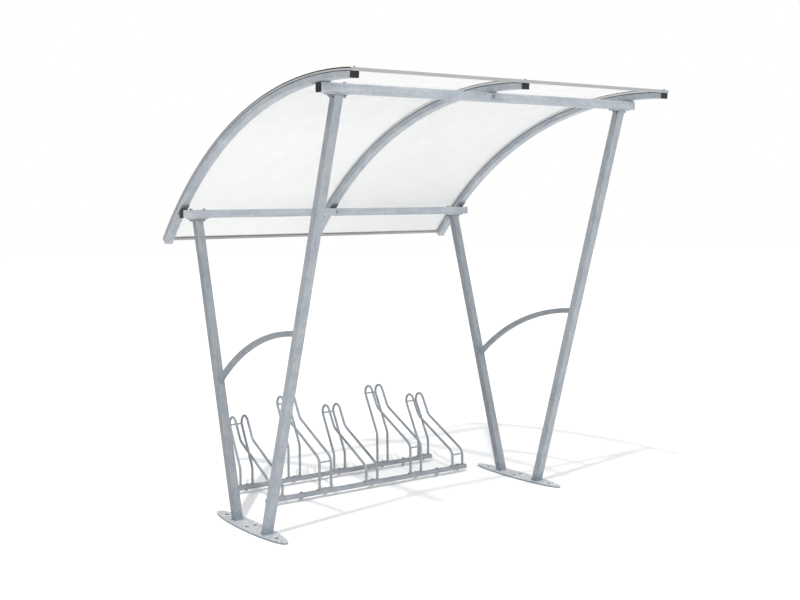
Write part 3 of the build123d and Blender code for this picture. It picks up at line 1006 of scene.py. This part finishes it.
# ---------------- welds
def fillet(width, length, leg, corner):
    """Fillet weld round a tube that stands on zero: widest on the plate, drawn in to the tube above it."""
    shoulder_rise, shoulder_in, bite = 0.45, 0.35, 0.0005
    piece = start("fillet", bpy.ops.mesh.primitive_plane_add, size=1)
    piece.scale = (width, length, 1)
    place(piece, (0, 0, 0))
    with Editing(piece, "VERT") as outline:
        outline.all()
        bpy.ops.mesh.bevel(offset=corner, segments=4, affect="VERTICES")
    with Editing(piece, "EDGE") as outline:
        outline.all()
        bpy.ops.mesh.delete(type="ONLY_FACE")
        outline.all()
        bpy.ops.mesh.subdivide(number_cuts=7)
        bpy.ops.mesh.edge_face_add()
    steps = (
        (0, leg),
        (leg * shoulder_rise, -leg * shoulder_in),
        (leg * (1 - shoulder_rise), -leg * (1 - shoulder_in) - bite),
    )
    with Editing(piece) as bead:
        bead.all()
        for rise, grow in steps:
            extrude(0, 0, rise)
            resize(1 + 2 * grow / width, 1 + 2 * grow / length)
    return piece


def brace_ends():
    """Where the braces meet the posts' faces: (spot, tilt) places, and the length of the cut on the face."""
    on_face = 0.0005
    ends, lengths = [], []
    for hand in HANDS:
        x = middle(f"brace_{hand}").x
        brace = [Vector(vertex.co) for vertex in NODES[f"brace_{hand}"].data.vertices]
        for row, inwards in (("front", 1), ("rear", -1)):
            foot, head = post_ends(row, hand)
            run = (head - foot).normalized()
            outward = inwards * Vector((0, run.z, -run.y))
            reach = [outward.dot(corner) for corner in brace]
            touching = [corner for corner, far in zip(brace, reach) if far < min(reach) + on_face]
            along = [run.dot(corner) for corner in touching]
            spot = sum(touching, Vector()) / len(touching)
            spot += run * ((max(along) + min(along)) / 2 - run.dot(spot))
            ends.append(((x, spot.y, spot.z), -inwards * atan2(abs(run.z), abs(run.y))))
            lengths.append(max(along) - min(along))
    return ends, max(lengths)


class SHELTER_OT_add_welds(Operator):
    """Weld beads of the posts, braces and hoops"""
    bl_idname = "shelter.add_welds"
    bl_label = "Welds"

    def execute(self, context):
        metal = weld_metal("zinc_on_welds")
        posts = [post_ends(row, hand) for row in ROWS for hand in HANDS]
        feet = [(foot, 0) for foot, head in posts]
        heads = [(head, pi) for foot, head in posts]
        add_steel("post_foot_welds", self.post_bead(), feet, metal)
        add_steel("post_head_welds", self.post_bead(), heads, metal)
        ends, length = brace_ends()
        brace_bead = fillet(sizes().brace_width, length, sizes().small_bead, sizes().brace_corner)
        add_steel("brace_welds", brace_bead, ends, metal)
        rod = sizes().hoop_rod
        almost_round = rod / 2 - 0.0001
        hoop_bead = fillet(rod, rod, sizes().small_bead, almost_round)
        add_steel("hoop_welds", hoop_bead, self.hoop_legs(), metal)
        return {"FINISHED"}

    def post_bead(self):
        """Bead round a post's end, which the lean makes a little longer than wide."""
        low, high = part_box("post_front_left")
        width, lean = high.x - low.x, 1.05
        return fillet(width, width * lean, sizes().bead, sizes().post_corner)

    def hoop_legs(self):
        plate_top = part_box("rack_rail_front")[1].z + sizes().foot_plate
        legs = []
        for name in HOLDERS:
            for side in (-1, 1):
                x = middle(name).x + side * sizes().hoop_spacing / 2
                legs += [((x, middle(f"rack_rail_{row}").y, plate_top), 0) for row in ROWS]
        return legs


# ---------------- stage
class SHELTER_OT_add_stage(Operator):
    """Pale floor, soft studio light and the camera"""
    bl_idname = "shelter.add_stage"
    bl_label = "Stage"

    def execute(self, context):
        stage = context.scene.shelter_stage
        self.floor(2 * stage.floor_radius)
        self.surround(stage.surround_low, stage.surround_high, Vector(stage.bright_side).normalized())
        self.lamp(Vector(stage.lamp_side).normalized(), stage.lamp, stage.lamp_size)
        self.camera(context.scene, stage)
        context.scene.view_settings.view_transform = "Standard"
        context.scene.cycles.transparent_max_bounces = 40
        return {"FINISHED"}

    def camera(self, scene, stage):
        heading = Matrix.Rotation(stage.camera_turn, 4, "Z")
        tilt = Matrix.Rotation(pi / 2 + stage.camera_tilt, 4, "X")
        roll = Matrix.Rotation(stage.camera_roll, 4, "Z")
        spot = Vector(stage.camera_place) + Vector((0, middle("base_plate_left").y, 0))
        bpy.ops.object.camera_add(location=spot, rotation=(heading @ tilt @ roll).to_euler())
        scene.camera = bpy.context.active_object
        camera = scene.camera.data
        camera.sensor_width = 36.0
        camera.lens = stage.camera_lens
        camera.shift_y = stage.camera_shift
        camera.clip_end = 200.0

    def floor(self, width):
        """A wide disc just below the base plates, drilled for their anchors."""
        thickness, below = 0.2, 0.0003
        floor = start_round("floor", width, -below - thickness, thickness, vertices=64)
        depth = sizes().anchor_depth
        drill = start_round("drill", sizes().anchor_hole, -depth, 2 * depth, vertices=24)
        holes = [((spot.x, spot.y, 0), 0) for hand in HANDS for spot in anchor_places(hand)]
        drills = copies("drills", drill, holes)
        select_only([floor])
        cut = floor.modifiers.new("anchor_holes", "BOOLEAN")
        cut.object = drills
        bpy.ops.object.modifier_apply(modifier=cut.name)
        bpy.data.objects.remove(drills)
        floor.data.materials.append(plain_floor("pale_floor"))

    def surround(self, low, high, bright_side):
        """White behind the shelter, and a soft light from all round, brighter from one side and above."""
        white = (1.0, 1.0, 1.0, 1.0)
        tint = opaque(tuple(colours().surround))
        world = bpy.data.worlds.new("studio")
        bpy.context.scene.world = world
        world.use_nodes = True
        tree = world.node_tree
        direction = Shade(tree).node("ShaderNodeTexCoord", output="Generated")
        facing = direction.vector_math("DOT_PRODUCT", direction, bright_side)
        glow = low + high * facing.math("MAXIMUM", facing, 0.0)
        light = direction.node("ShaderNodeBackground", inputs={0: tint, 1: glow})
        backdrop = direction.node("ShaderNodeBackground", inputs={0: white, 1: 1.0})
        seen = direction.node("ShaderNodeLightPath", output="Is Camera Ray")
        mixed = direction.node("ShaderNodeMixShader", inputs={0: seen, 1: light, 2: backdrop})
        tree.links.new(mixed.socket, tree.nodes["World Output"].inputs["Surface"])

    def lamp(self, side, energy, width):
        away = 6.0
        turn = side.to_track_quat("Z", "Y").to_euler()
        bpy.ops.object.light_add(type="SUN", location=side * away, rotation=turn)
        light = bpy.context.active_object
        light.name = "lamp"
        light.data.energy = energy
        light.data.angle = width


OPERATORS = (
    SHELTER_OT_finish_steelwork,
    SHELTER_OT_finish_trim,
    SHELTER_OT_add_roof_sheets,
    SHELTER_OT_add_frame_bolts,
    SHELTER_OT_add_vent_plugs,
    SHELTER_OT_add_roof_screws,
    SHELTER_OT_add_rack_bolts,
    SHELTER_OT_add_welds,
    SHELTER_OT_add_stage,
)


class SHELTER_PT_panel(Panel):
    """Sizes, colours and steps of the bike shelter"""
    bl_idname = "SHELTER_PT_panel"
    bl_label = "Bike shelter"
    bl_space_type = "VIEW_3D"
    bl_region_type = "UI"
    bl_category = "Shelter"

    def draw(self, context):
        for step in OPERATORS:
            self.layout.operator(step.bl_idname)
        scene = context.scene
        for group in (scene.shelter_sizes, scene.shelter_colours, scene.shelter_stage):
            box = self.layout.box()
            for name in group.bl_rna.properties.keys():
                if name not in ("rna_type", "name"):
                    box.prop(group, name)


CLASSES = (ShelterSizes, ShelterColours, ShelterStage, *OPERATORS, SHELTER_PT_panel)


def register():
    for item in CLASSES:
        bpy.utils.register_class(item)
    bpy.types.Scene.shelter_sizes = PointerProperty(type=ShelterSizes)
    bpy.types.Scene.shelter_colours = PointerProperty(type=ShelterColours)
    bpy.types.Scene.shelter_stage = PointerProperty(type=ShelterStage)


def unregister():
    del bpy.types.Scene.shelter_stage
    del bpy.types.Scene.shelter_colours
    del bpy.types.Scene.shelter_sizes
    for item in reversed(CLASSES):
        bpy.utils.unregister_class(item)


def main():
    register()
    bpy.ops.shelter.finish_steelwork()
    bpy.ops.shelter.finish_trim()
    bpy.ops.shelter.add_roof_sheets()
    bpy.ops.shelter.add_frame_bolts()
    bpy.ops.shelter.add_vent_plugs()
    bpy.ops.shelter.add_roof_screws()
    bpy.ops.shelter.add_rack_bolts()
    bpy.ops.shelter.add_welds()
    bpy.ops.shelter.add_stage()


if __name__ == "__main__":
    main()
